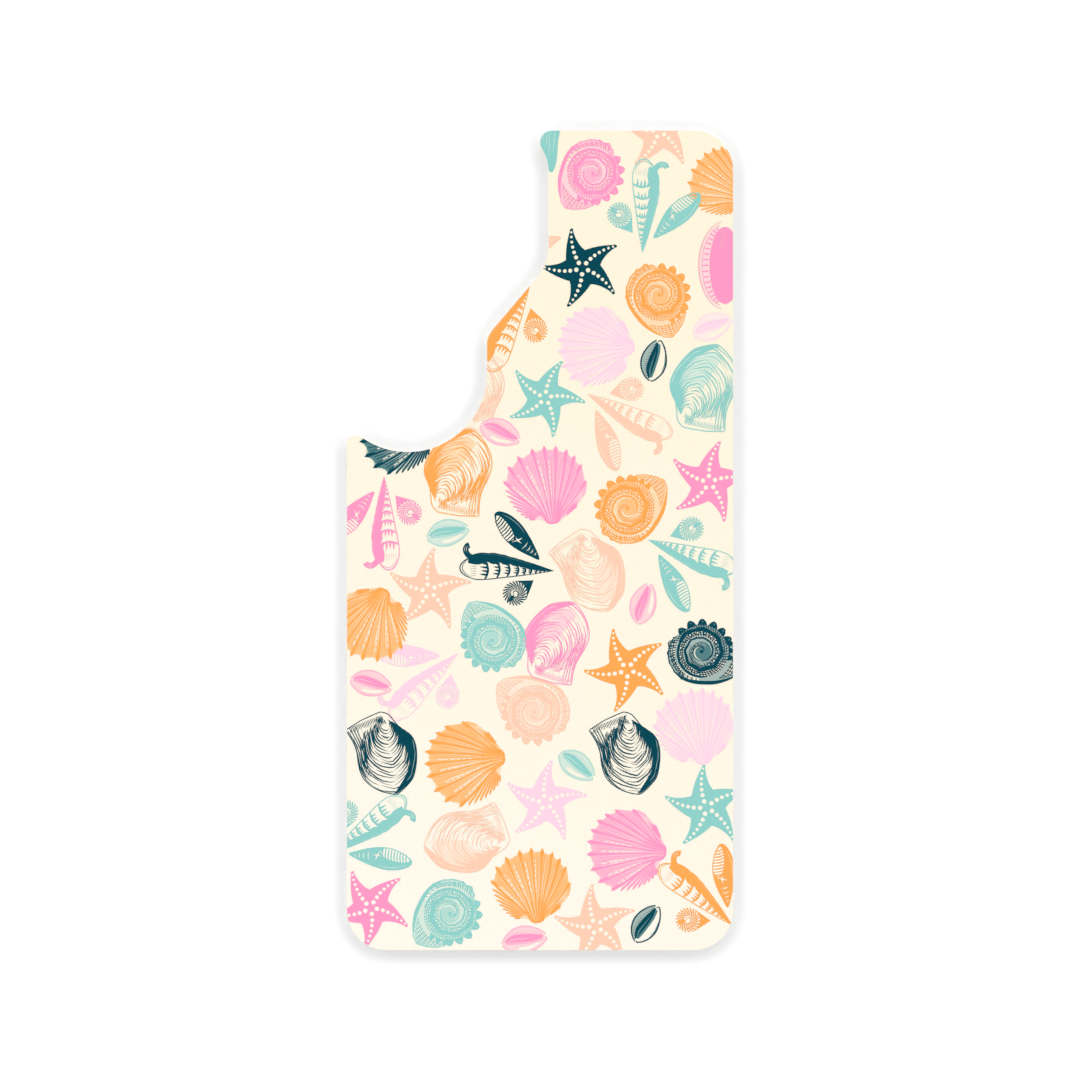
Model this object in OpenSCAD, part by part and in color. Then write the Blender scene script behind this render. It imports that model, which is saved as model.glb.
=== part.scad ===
// Printed insert plate for the back of a phone case.
// It lies flat with its printed face up: +Z is out of the print, +Y towards the top of the phone.
// Bottom to top: split release liner, adhesive sheet, base plate, ground ink, six shape inks.

/* [Plate] */
// Width of the plate across the phone
plate_w = 73; // [71:0.5:78]
// Height of the plate along the phone
plate_h = 155; // [152:0.5:164]
// Radius of the three full outer corners
corner_r = 7.5; // [6:0.5:11]

/* [Layers] */
// Thickness of the rigid plastic plate
base_t = 0.8; // [0.5:0.1:1.6]
// Thickness of the adhesive sheet
adhesive_t = 0.15; // [0.1:0.05:0.3]
// How far the adhesive stays inside the edge
adhesive_inset = 0.5; // [0.2:0.1:0.8]
// Thickness of the paper liner
liner_t = 0.12; // [0.08:0.02:0.2]
// Thickness of the cream ground ink
ground_t = 0.06; // [0.04:0.01:0.1]
// Thickness of the shape inks
ink_t = 0.05; // [0.03:0.01:0.1]

/* [Camera notch] */
// Width of the lens column, from the left edge of the plate
lens_w = 26.5; // [24:0.5:29]
// Depth of the lens column, from the top edge of the plate
lens_depth = 60.8; // [52:0.2:66]
// Radius of the round end of the lens column
lens_r = 15; // [14:0.5:16]
// Extra width of the flash column beside the lens column
flash_w = 11.65; // [9:0.05:13]
// Radius at both ends of the flash column
flash_r = 9; // [7.5:0.5:10]
// Depth of the centre of the flash column's upper round
flash_top = 8; // [7.5:0.1:10]
// Depth of the centre of the flash column's lower round
flash_low = 21.9; // [18:0.1:25]
// Turn of the flash column's lower round before its slanted side
flash_turn = 40.5; // [35:0.5:45]

/* [Liner] */
// Where the split in the liner runs, right of the middle
split_x = 6; // [4:0.5:14]
// Width of the split
split_gap = 0.2; // [0.1:0.1:0.6]

/* [Hidden] */
tongue_r = 2.2;
slant_r = 1.9;
shoulder_r = 1.7;
arc_step = 5;
left = -plate_w / 2;
right = plate_w / 2;
top = plate_h / 2;
bottom = -plate_h / 2;
z_adhesive = liner_t;
z_base = z_adhesive + adhesive_t;
z_ground = z_base + base_t;
z_ink = z_ground + ground_t;

// Notch geometry: every round is tangent to its neighbours.
lens_side = left + lens_w;
lens_cx = lens_side - lens_r;
lens_cy = top - lens_depth + lens_r;
flash_side = lens_side + flash_w;
flash_cx = flash_side - flash_r;
flash_top_y = top - flash_top;
flash_low_y = top - flash_low;
tongue_cy = top - tongue_r;
tongue_dy = tongue_cy - flash_top_y;
tongue_dx = sqrt(pow(flash_r + tongue_r, 2) - pow(tongue_dy, 2));
tongue_cx = flash_cx + tongue_dx;
tongue_a = atan2(tongue_dy, tongue_dx);
slant_cx = lens_side + slant_r;
slant_run = (flash_cx + (flash_r + slant_r) * cos(flash_turn) - slant_cx) / sin(flash_turn);
slant_cy = flash_low_y - (flash_r + slant_r) * sin(flash_turn) - slant_run * cos(flash_turn);
shoulder_cx = left + shoulder_r;
shoulder_dx = shoulder_cx - lens_cx;
shoulder_dy = sqrt(pow(lens_r + shoulder_r, 2) - pow(shoulder_dx, 2));
shoulder_cy = lens_cy - shoulder_dy;
shoulder_a = atan2(shoulder_dy, -shoulder_dx);

// Points of an arc, both ends included.
function arc(cx, cy, r, a0, a1) =
  let (n = ceil(abs(a1 - a0) / arc_step))
  [for (i = [0:n]) [cx + r * cos(a0 + (a1 - a0) * i / n), cy + r * sin(a0 + (a1 - a0) * i / n)]];

// Outline of the plate, drawn inwards by the inset, anticlockwise from the right edge.
function outline(inset) = concat(
  arc(right - corner_r, top - corner_r, corner_r - inset, 0, 90),
  arc(tongue_cx, tongue_cy, tongue_r - inset, 90, 180 + tongue_a),
  arc(flash_cx, flash_top_y, flash_r + inset, tongue_a, 0),
  arc(flash_cx, flash_low_y, flash_r + inset, 0, -flash_turn),
  arc(slant_cx, slant_cy, slant_r - inset, 180 - flash_turn, 180),
  arc(lens_cx, lens_cy, lens_r + inset, 0, -180 + shoulder_a),
  arc(shoulder_cx, shoulder_cy, shoulder_r - inset, shoulder_a, 180),
  arc(left + corner_r, bottom + corner_r, corner_r - inset, 180, 270),
  arc(right - corner_r, bottom + corner_r, corner_r - inset, 270, 360));

module plate_shape(inset) {
  polygon(outline(inset));
}

module half_plane_left(x) {
  translate([x - plate_w, -plate_h])
  square([plate_w, 2 * plate_h]);
}

// Shapes of the print. Each has its own formula in polar or length fractions.
function polar(r, t) = [r * cos(t), r * sin(t)];

function star_pts(r) = [for (t = [0:9:351])
  polar(r * (0.36 + 0.64 * pow((1 + cos(5 * t)) / 2, 1.5)), t)];

function fan_pts(r, ribs = 9, half = 46) = concat(
  [for (i = [-ribs:ribs])
    let (t = i * half / ribs, tooth = (i + ribs) % 2 == 0 ? 0.94 : 1)
    polar(r * tooth * (1 - 0.32 * pow(t / half, 2)), t)],
  [[0.12 * r, 0.1 * r], [0, 0.13 * r], [0, -0.13 * r], [0.12 * r, -0.1 * r]]);

function turban_pts(r) = [for (t = [0:9:351])
  polar(r * (0.86 + 0.08 * cos(8 * t) * (1 - cos(t)) / 2 + 0.3 * pow(max(0, cos(t)), 12)), t)];

function clam_pts(r) = [for (t = [0:12:348])
  [-0.8 * r * sin(t) * (1 - 0.3 * max(0, cos(t))), r * cos(t)]];

function cowrie_pts(l) = [for (t = [0:15:345]) [l / 2 * cos(t), 0.29 * l * sin(t)]];

function snail_pts(r) = [for (t = [0:15:345])
  polar(r * (0.9 + 0.5 * pow(max(0, cos(t)), 8)), t)];

function spindle_pts(l) = [for (t = [0:15:345])
  [l / 2 * cos(t), 0.19 * l * sin(t) * (1 - 0.3 * abs(cos(t)))]];

function auger_pts(l, whorls = 8) = concat(
  [for (i = [0:whorls - 1], k = [0, 0.85])
    let (t = (i + k) / whorls)
    [l * (0.5 - 0.85 * t), -l * (0.012 + 0.125 * t - 0.006 * k)]],
  [[-0.46 * l, -0.09 * l], [-0.5 * l, 0.06 * l], [-0.49 * l, 0.2 * l], [-0.43 * l, 0.19 * l]],
  [for (i = [whorls - 1:-1:0], k = [0.85, 0])
    let (t = (i + k) / whorls)
    [l * (0.5 - 0.85 * t), l * (0.012 + 0.125 * t - 0.006 * k)]]);

module star(x, y, r, a) {
  translate([x, y])
  rotate(a)
  polygon(star_pts(r));
}

module fan(x, y, r, a) {
  translate([x, y])
  rotate(a)
  polygon(fan_pts(r));
}

module turban(x, y, r, a) {
  translate([x, y])
  rotate(a)
  polygon(turban_pts(r));
}

module clam(x, y, r, a) {
  translate([x, y])
  rotate(a)
  polygon(clam_pts(r));
}

module cowrie(x, y, l, a) {
  translate([x, y])
  rotate(a)
  polygon(cowrie_pts(l));
}

module spindle(x, y, l, a) {
  translate([x, y])
  rotate(a)
  polygon(spindle_pts(l));
}

// Three small shells that always stand together: auger, snail and spindle.
module trio(x, y, a) {
  translate([x, y])
  rotate(a) {
    polygon(auger_pts(16.6));
    translate([1.8, -4.7])
    rotate(40)
    polygon(snail_pts(2.7));
    translate([1.2, 6])
    rotate(-39)
    polygon(spindle_pts(11));
  }
}

// One ink: its shapes, cut at the edge of the plate.
module ink() {
  translate([0, 0, z_ink])
  linear_extrude(ink_t)
  intersection() {
    plate_shape(0);
    union() children();
  }
}

module liner_left() {
  color("#e9dfc8")
  linear_extrude(liner_t)
  intersection() {
    plate_shape(0);
    half_plane_left(split_x - split_gap / 2);
  }
}

module liner_right() {
  color("#e9dfc8")
  linear_extrude(liner_t)
  difference() {
    plate_shape(0);
    half_plane_left(split_x + split_gap / 2);
  }
}

module adhesive_sheet() {
  color("#e8e8e2")
  translate([0, 0, z_adhesive])
  linear_extrude(adhesive_t)
  plate_shape(adhesive_inset);
}

module base_plate() {
  color("#f4f3ef")
  translate([0, 0, z_base])
  linear_extrude(base_t)
  plate_shape(0);
}

module ground_ink() {
  color("#fdf6e2")
  translate([0, 0, z_ground])
  linear_extrude(ground_t)
  plate_shape(0);
}

module ink_navy() {
  color("#004655")
  ink() {
    star(8, 51.5, 8, 36);
    fan(-24, 26, 13, 238);
    turban(31, -20.5, 6.5, 340);
    clam(-29, -40.5, 7.5, 5);
    clam(16.5, -40.5, 7.5, 5);
    cowrie(21.5, 34, 8, 82);
    cowrie(20, -72.5, 8, 62);
    trio(-6, -5, -5);
  }
}

module ink_teal() {
  color("#8fd1ca")
  ink() {
    star(1, 27, 7.5, 65);
    star(31.5, -50.5, 8, 93);
    turban(-9, -19, 6.5, 125);
    turban(-17, -70.5, 6.5, 225);
    clam(31, 28.5, 8, 146);
    cowrie(-17.5, 1.5, 8, 18);
    cowrie(7, -42.5, 8, -32);
    trio(20, 63, 266);
    trio(28.5, -3, 159);
    trio(-32, -53.5, 214);
    spindle(1, 78, 16, 88);
  }
}

module ink_pink() {
  color("#fe9ac6")
  ink() {
    star(32, 11, 8, 75);
    star(-32, -69.5, 7.5, 45);
    fan(2.5, 3.5, 14.5, 97);
    fan(23.5, -59, 15, 172);
    turban(10, 69.5, 6.5, 235);
    clam(4, -19, 7.5, 160);
    cowrie(-7.5, 20.5, 8, -18);
    cowrie(19.5, -12, 8, 78);
    cowrie(-32, -27, 8, -8);
    cowrie(-3, -75.5, 8.5, 15);
    cowrie(37, 52, 16.5, 90);
    trio(-29.5, 3.5, 90);
  }
}

module ink_orange() {
  color("#feaa54")
  ink() {
    star(16.5, -24.5, 8.5, 37);
    fan(39.5, 64.5, 12, 143);
    fan(-30, -9, 13, 243);
    fan(-7, -41, 15, 185);
    fan(-0.5, -72, 14, 95);
    turban(22.5, 46, 6.5, 290);
    turban(17, 6.5, 7, 40);
    clam(-15, 12, 7.5, 160);
    trio(-6, 40.5, 62);
    trio(30, -67, -42);
  }
}

module ink_peach() {
  color("#fecfb4")
  ink() {
    star(22.5, 77.5, 7.5, 90);
    star(-21, -9.5, 8, 83);
    star(10.5, -73, 8, 94);
    turban(-1, -32.5, 7, 145);
    clam(10, -5.5, 7.5, 20);
    clam(-14, -56.5, 7.5, -85);
    clam(-13, 27, 6, 146);
    trio(16.5, 23.5, 151);
    spindle(-1, 55.5, 10, 15);
  }
}

module ink_lilac() {
  color("#fed6e8")
  ink() {
    star(1, -49.5, 8, 81);
    fan(17.5, 36.5, 14, 174);
    fan(31, -42, 14.5, 100);
    cowrie(32, 41, 8, 28);
    trio(-22, -27.5, 41);
  }
}

liner_left();
liner_right();
adhesive_sheet();
base_plate();
ground_ink();
ink_navy();
ink_teal();
ink_pink();
ink_orange();
ink_peach();
ink_lilac();
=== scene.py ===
"""Looks of the printed phone case insert plate: shells and starfish in six inks on a cream ground."""

import math
import random

import bpy
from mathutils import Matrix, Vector
from mathutils.geometry import delaunay_2d_cdt


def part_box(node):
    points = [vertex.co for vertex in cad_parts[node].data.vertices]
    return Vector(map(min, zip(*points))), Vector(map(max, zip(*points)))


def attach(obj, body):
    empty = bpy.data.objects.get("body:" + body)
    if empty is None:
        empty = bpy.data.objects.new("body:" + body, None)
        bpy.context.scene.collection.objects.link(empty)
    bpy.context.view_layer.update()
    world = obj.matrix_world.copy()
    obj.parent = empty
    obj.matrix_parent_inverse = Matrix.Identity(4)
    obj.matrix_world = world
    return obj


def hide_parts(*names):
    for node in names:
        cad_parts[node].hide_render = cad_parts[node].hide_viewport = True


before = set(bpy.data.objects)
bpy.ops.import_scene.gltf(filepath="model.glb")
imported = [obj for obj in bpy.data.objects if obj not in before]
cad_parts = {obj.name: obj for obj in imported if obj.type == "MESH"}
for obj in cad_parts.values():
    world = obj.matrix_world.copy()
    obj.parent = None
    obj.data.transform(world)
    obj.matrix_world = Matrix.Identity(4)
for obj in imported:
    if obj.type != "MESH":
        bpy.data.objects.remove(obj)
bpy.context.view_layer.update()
rng = random.Random(11)

MM = 0.001
INKS = {  # screen colours, each from 0 to 255
    "navy": (0, 70, 85),
    "teal": (143, 209, 202),
    "pink": (254, 154, 198),
    "orange": (254, 170, 84),
    "peach": (254, 207, 180),
    "lilac": (254, 214, 232),
}
CREAM = (253, 246, 228)
TONES = {"full": 1.0, "mid": 0.66, "light": 0.34}  # share of ink over the cream
LIGHT_LEVEL = 1.125  # what the studio light makes of a white surface
SAME_LEVEL = 1e-6  # heights that differ by less than this, in metres, count as the same
WELD = 1e-5  # points of one motif that are this near to each other, in mm, become one
SLIVER = 1e-7  # a triangle is left out when twice its area is less than this, in square mm
INK_STEP = 0.05  # the film of each next ink is thinner by this share
TONE_STEP = 0.15  # and that of a pale tone by up to this share
TAPER_PARTS = 3  # each end of a pen stroke tapers over one such part of its length
FILM_SHARE = 0.4  # of the CAD's ink layer, because a thicker film would shade the pale dots


# ---------------------------------------------------------------- outline of the plate


def top_outline(node):
    """The outline of a flat CAD node's top face as one ring of points, in mm, anticlockwise."""
    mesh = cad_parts[node].data
    high = max(v.co.z for v in mesh.vertices)
    key = {v.index: (round(v.co.x / MM, 4), round(v.co.y / MM, 4)) for v in mesh.vertices}
    # An edge between two faces is met both ways round and drops out, so the outline is what stays.
    edges = {}
    for p in mesh.polygons:
        if p.normal.z < 0.9 or abs(mesh.vertices[p.vertices[0]].co.z - high) > SAME_LEVEL:
            continue
        ring = [key[i] for i in p.vertices]
        for a, b in zip(ring, ring[1:] + ring[:1]):
            if (b, a) in edges:
                del edges[(b, a)]
            else:
                edges[(a, b)] = True
    follow = dict(edges.keys())
    start = next(iter(follow))
    ring, at = [start], follow[start]
    while at != start:
        ring.append(at)
        at = follow[at]
    return ring


OUTLINE = top_outline("ground_ink")
Z_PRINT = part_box("ground_ink")[1].z
FILM_LIFT = FILM_SHARE * (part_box("ink_navy")[1].z - Z_PRINT)


# ---------------------------------------------------------------- curves


def turned_left(ring):
    """The same ring of points, anticlockwise."""
    area = sum(a[0] * b[1] - b[0] * a[1] for a, b in zip(ring, ring[1:] + ring[:1]))
    return ring if area > 0 else ring[::-1]


def smooth(points, steps=4, closed=True):
    """A Catmull-Rom curve through given points."""
    n, out = len(points), []
    for i in range(n if closed else n - 1):
        p = [
            points[(i + k) % n] if closed else points[max(0, min(n - 1, i + k))]
            for k in (-1, 0, 1, 2)
        ]
        for s in range(steps):
            t = s / steps
            out.append(
                tuple(
                    0.5
                    * (
                        2 * p[1][d]
                        + (p[2][d] - p[0][d]) * t
                        + (2 * p[0][d] - 5 * p[1][d] + 4 * p[2][d] - p[3][d]) * t * t
                        + (3 * p[1][d] - p[0][d] - 3 * p[2][d] + p[3][d]) * t ** 3
                    )
                    for d in (0, 1)
                )
            )
    if not closed:
        out.append(tuple(points[-1]))
    return out


def polar(r, degrees):
    """The point at this distance and direction from the origin."""
    return (r * math.cos(math.radians(degrees)), r * math.sin(math.radians(degrees)))


def along(points, t):
    """The point at share t of a line's steps."""
    f = max(0.0, min(1.0, t)) * (len(points) - 1)
    i = min(int(f), len(points) - 2)
    k = f - i
    a, b = points[i], points[i + 1]
    return (a[0] + (b[0] - a[0]) * k, a[1] + (b[1] - a[1]) * k)


# ---------------------------------------------------------------- printing


class Film:
    """All that is printed in one ink and tone: thin closed slabs that share one mesh."""

    def __init__(self, low, high):
        self.low, self.high = low, high
        self.verts, self.faces = [], []

    def slab(self, points, cells):
        """Adds the slab that these triangles make, with a wall along each open edge."""
        used = sorted({i for cell in cells for i in cell})
        at = {v: len(self.verts) + k for k, v in enumerate(used)}
        up = len(used)
        for z in (self.low, self.high):
            self.verts += [(points[v].x * MM, points[v].y * MM, z) for v in used]
        sides = set()
        for cell in cells:
            a, b, c = (at[v] for v in cell)
            self.faces += [(a + up, b + up, c + up), (c, b, a)]
            sides |= {(a, b), (b, c), (c, a)}
        for a, b in sorted(sides):
            if (b, a) not in sides:
                self.faces.append((a, b, b + up, a + up))


FILMS = {}  # one for each ink and tone


def film_top(ink, tone):
    """A height of its own for each ink and tone, so that no two faces meet where motifs overlap."""
    share = (1 - INK_STEP * list(INKS).index(ink)) * (1 - TONE_STEP + TONE_STEP * TONES[tone])
    return Z_PRINT + FILM_LIFT * share


class Stamp:
    """Draws one motif in its own coordinates, u and v, which are turned and moved onto the plate.

    A stroke covers those of a lower level, and the earlier ones of its own level.
    """

    def __init__(self, ink, x, y, turn, size=1.0, strokes=None):
        self.ink, self.x, self.y, self.turn, self.size = ink, x, y, turn, size
        self.cos, self.sin = math.cos(math.radians(turn)), math.sin(math.radians(turn))
        self.strokes = [] if strokes is None else strokes

    def place(self, p):
        """Where a point of the motif lies on the plate."""
        u, v = p[0] * self.size, p[1] * self.size
        return (self.x + u * self.cos - v * self.sin, self.y + u * self.sin + v * self.cos)

    def sub(self, u, v, turn, size=1.0):
        """A stamp that stands at a point of this one and draws on the same motif."""
        x, y = self.place((u, v))
        return Stamp(self.ink, x, y, self.turn + turn, self.size * size, self.strokes)

    def fill(self, ring, tone="full", level=0):
        """The area inside a ring of points."""
        self.strokes.append((turned_left([self.place(p) for p in ring]), tone, level))

    def dot(self, u, v, r, tone="cream", level=3, sides=10):
        """A round spot."""
        ring = [polar(r, 360 * k / sides) for k in range(sides)]
        self.fill([(u + du, v + dv) for du, dv in ring], tone, level)

    def line(self, points, width, tone="full", level=1, taper=(1.0, 1.0), swell=0.0):
        """A pen stroke: taper is the share of its width at each end, and swell is added midway."""
        path = [self.place(p) for p in points]
        n = len(path)
        left, right = [], []
        for i, p in enumerate(path):
            a, b = path[max(0, i - 1)], path[min(n - 1, i + 1)]
            dx, dy = b[0] - a[0], b[1] - a[1]
            d = math.hypot(dx, dy) or 1.0
            t = i / (n - 1)
            ends = taper[0] + (1 - taper[0]) * min(1, t * TAPER_PARTS)
            ends = min(ends, taper[1] + (1 - taper[1]) * min(1, (1 - t) * TAPER_PARTS))
            w = width * self.size * (ends + swell * math.sin(math.pi * t)) / 2
            left.append((p[0] - dy / d * w, p[1] + dx / d * w))
            right.append((p[0] + dy / d * w, p[1] - dx / d * w))
        for i in range(n - 1):
            ring = [right[i], right[i + 1], left[i + 1], left[i]]
            self.strokes.append((turned_left(ring), tone, level))

    def press(self):
        """Cuts the strokes along each other and at the plate's edge, and prints what shows."""
        points = [Vector(p) for p in OUTLINE]
        rings = [list(range(len(points)))]
        for ring, _, _ in self.strokes:
            rings.append(list(range(len(points), len(points) + len(ring))))
            points += [Vector(p) for p in ring]
        verts, _, cells, _, _, owners = delaunay_2d_cdt(points, [], rings, 1, WELD, True)
        shown = {}
        for cell, own in zip(cells, owners):
            if 0 not in own or len(own) < 2:
                continue
            a, b, c = (verts[i] for i in cell)
            if (b - a).cross(c - a) < SLIVER:
                continue
            top = max((self.strokes[i - 1][2], i) for i in own if i)[1]
            shown.setdefault(self.strokes[top - 1][1], []).append(cell)
        for tone, kept in shown.items():
            if tone != "cream":
                film = FILMS.setdefault((self.ink, tone), Film(Z_PRINT, film_top(self.ink, tone)))
                film.slab(verts, kept)


# ---------------------------------------------------------------- motifs


def star(ink, x, y, size, turn):
    """A starfish with five slightly swept arms and a row of pale dots down each."""
    stamp = Stamp(ink, x, y, turn, size)
    valley = 0.44  # where two arms meet
    start = valley * math.cos(math.radians(36))

    def middle(s, k):
        """The direction of arm k's middle line, which sweeps round as it runs out to s."""
        return 72 * k + 22 * (1 - s)

    def half(s):
        """Half the width of an arm at s."""
        return 0.036 + 0.22 * (max(0.0, 0.96 - s) / (0.96 - start)) ** 1.15

    def beside(s, k, across):
        """The point at s on arm k, this far to the side of its middle line."""
        c, a = polar(s, middle(s, k)), math.radians(middle(s, k))
        return (c[0] - across * math.sin(a), c[1] + across * math.cos(a))

    ring = []
    stations = (0.45, 0.55, 0.65, 0.75, 0.85, 0.93)
    for k in range(5):
        ring.append(polar(valley, 72 * k - 36 + 12.5))
        ring += [beside(s, k, -half(s)) for s in stations]
        ring += [beside(0.97, k, -0.04), beside(0.99, k, -0.025), beside(1.0, k, 0.0)]
        ring += [beside(0.99, k, 0.025), beside(0.97, k, 0.04)]
        ring += [beside(s, k, half(s)) for s in stations[::-1]]
    stamp.fill(ring, "full", 0)
    for k in range(5):
        for i, s in enumerate((0.15, 0.30, 0.43, 0.56, 0.68, 0.80, 0.91)):
            u, v = polar(s, middle(s, k))
            stamp.dot(u, v, 0.056 - 0.0045 * i, "cream", 4, 12)
    stamp.press()


RIM = [  # the direction in degrees and the length of each rib of a scallop
    (-46, 0.69), (-33, 0.84), (-25, 0.91), (-17.5, 0.96), (-9, 0.99),
    (0, 1.0), (9.5, 0.995), (21.5, 0.975), (32.5, 0.935), (44, 0.84),
]


def scallop(ink, x, y, size, turn):
    """A ribbed fan from its hinge at the origin: a spike at each rib, an ear at -v, a frill at +v."""
    stamp = Stamp(ink, x, y, turn, size)
    ear = [(-78, 0.13), (-66, 0.24), (-58, 0.33), (-54.5, 0.385), (-58, 0.46), (-56, 0.55), (-51, 0.63)]
    ring = [(-0.02, 0.0), (-0.005, -0.05), (0.015, -0.09)] + [polar(r, a) for a, r in ear]
    for (a0, r0), (a1, r1) in zip(RIM, RIM[1:]):
        ring.append(polar(r0, a0))
        for t, dip in ((0.09, 0.965), (0.28, 0.94), (0.5, 0.93), (0.72, 0.94), (0.91, 0.965)):
            ring.append(polar((r0 + (r1 - r0) * t) * dip, a0 + (a1 - a0) * t))
    ring.append(polar(RIM[-1][1], RIM[-1][0]))
    frill = [(48 + 4.0 * i, 0.76 - 0.063 * i) for i in range(8)]
    for a, r in frill:
        ring += [polar(r * 0.91, a - 1.2), polar(r, a + 1.6)]
    ring += [polar(0.18, 74), (0.02, 0.1), (-0.005, 0.05)]
    stamp.fill(ring, "light", 0)

    def ray(a, r, shares):
        """Points of a rib that leaves the hinge in a bow and ends at (a, r)."""
        out = []
        for t in shares:
            u, v = polar(r * t, a * (1 + 0.05 * math.sin(math.pi * t)))
            out.append((u, v + 0.085 * math.sin(math.radians(a * 1.6)) * (1 - t) ** 5))
        return out

    steps = (0.0, 0.12, 0.28, 0.45, 0.65, 0.82, 0.94)
    for (a0, r0), (a1, r1) in zip(RIM, RIM[1:]):
        gap = a1 - a0
        dark = (0.5 + 0.5 * max(0.0, -(a0 + 2) / 30)) * (0.55 if ink == "navy" else 1.0)
        far, near = a0 + gap * min(dark, 0.97), a0 + gap * 0.02
        stamp.fill(ray(near, r0, steps) + ray(far, r0 + (r1 - r0) * dark, steps)[::-1], "mid", 1)
        outer = [polar((r0 + (r1 - r0) * t) * 0.925, a0 + gap * t) for t in (0.05, 0.3, 0.5, 0.7, 0.95)]
        inner = [
            polar((r0 + (r1 - r0) * t) * (0.7 + 0.07 * (-1) ** k), a0 + gap * t)
            for k, t in enumerate((0.95, 0.8, 0.65, 0.5, 0.35, 0.2, 0.05))
        ]
        stamp.fill(outer + inner, "mid", 1)
        for k in range(3):
            share = (k + 0.9) / 3.9
            a, r = a0 + gap * share, r0 + (r1 - r0) * share
            start = 0.2 + 0.3 * rng.random()
            stop = 0.84 + 0.08 * rng.random()
            pen = 0.012 if ink == "navy" else 0.0085
            stamp.line(ray(a, r, (start, (start + stop) / 2, stop)), pen, "full", 2, (0.4, 0.8))
        if a0 > -12:
            a, r = a0 + gap * 0.7, r0 + (r1 - r0) * 0.7
            t = 0.32 + 0.1 * rng.random()
            while t < 0.8:
                long = 0.03 + 0.05 * rng.random()
                stamp.line(ray(a, r, (t, t + long)), 0.012 + 0.016 * t, "cream", 3, (0.6, 0.6))
                t += long + 0.014 + 0.02 * rng.random()
        elif a0 > -30:
            stamp.line(ray(a0 + gap * 0.6, r0, (0.3, 0.6, 0.86)), 0.010, "light", 3, (0.3, 0.6))
    for a, r in RIM:
        stamp.line(ray(a, r, steps), 0.028, "full", 4, (0.5, 1.0))
        stamp.line(ray(a + 1.6, r, steps[2:-1]), 0.01, "light", 4, (0.4, 0.4))
        tip = [(0.84, -0.9), (0.95, -1.7), (1.0, 0.0), (0.95, 1.7), (0.84, 0.9)]
        stamp.fill([polar(r * k, a + d) for k, d in tip], "full", 4)
    for i, (a, r) in enumerate(frill):
        fold = [polar(0.15 + 0.012 * i, a * 0.96), polar((0.16 + r) / 2, a), polar(r * 0.97, a + 1.5)]
        stamp.line(fold, 0.022, "full", 4, (0.4, 0.9))
    flap = [
        (-76, 0.12), (-65.5, 0.24), (-57.5, 0.33), (-54, 0.385), (-57.5, 0.46), (-55.5, 0.55),
        (-50.5, 0.63), (-46, 0.66), (-46, 0.2),
    ]
    stamp.fill([polar(r, a) for a, r in flap], "mid", 1)
    for i in range(5):
        a = -50 - 2.2 * i
        fold = [polar(0.2, a - 12), polar(0.36, a - 5), polar(0.58 - 0.05 * i, a)]
        stamp.line(fold, 0.018, "full", 3, (0.3, 0.6))
    for i in range(6):
        a = -48 - 1.7 * i
        fold = [polar(0.34 + 0.008 * i, a - 5), polar(0.48, a - 1.5), polar(0.63 - 0.03 * i, a + 1)]
        stamp.line(fold, 0.011, "light", 3, (0.3, 0.6))
    stamp.line([(0.02, -0.09), (-0.01, -0.04), (-0.012, 0.04), (0.02, 0.09)], 0.03, "full", 4)
    stamp.press()


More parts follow.
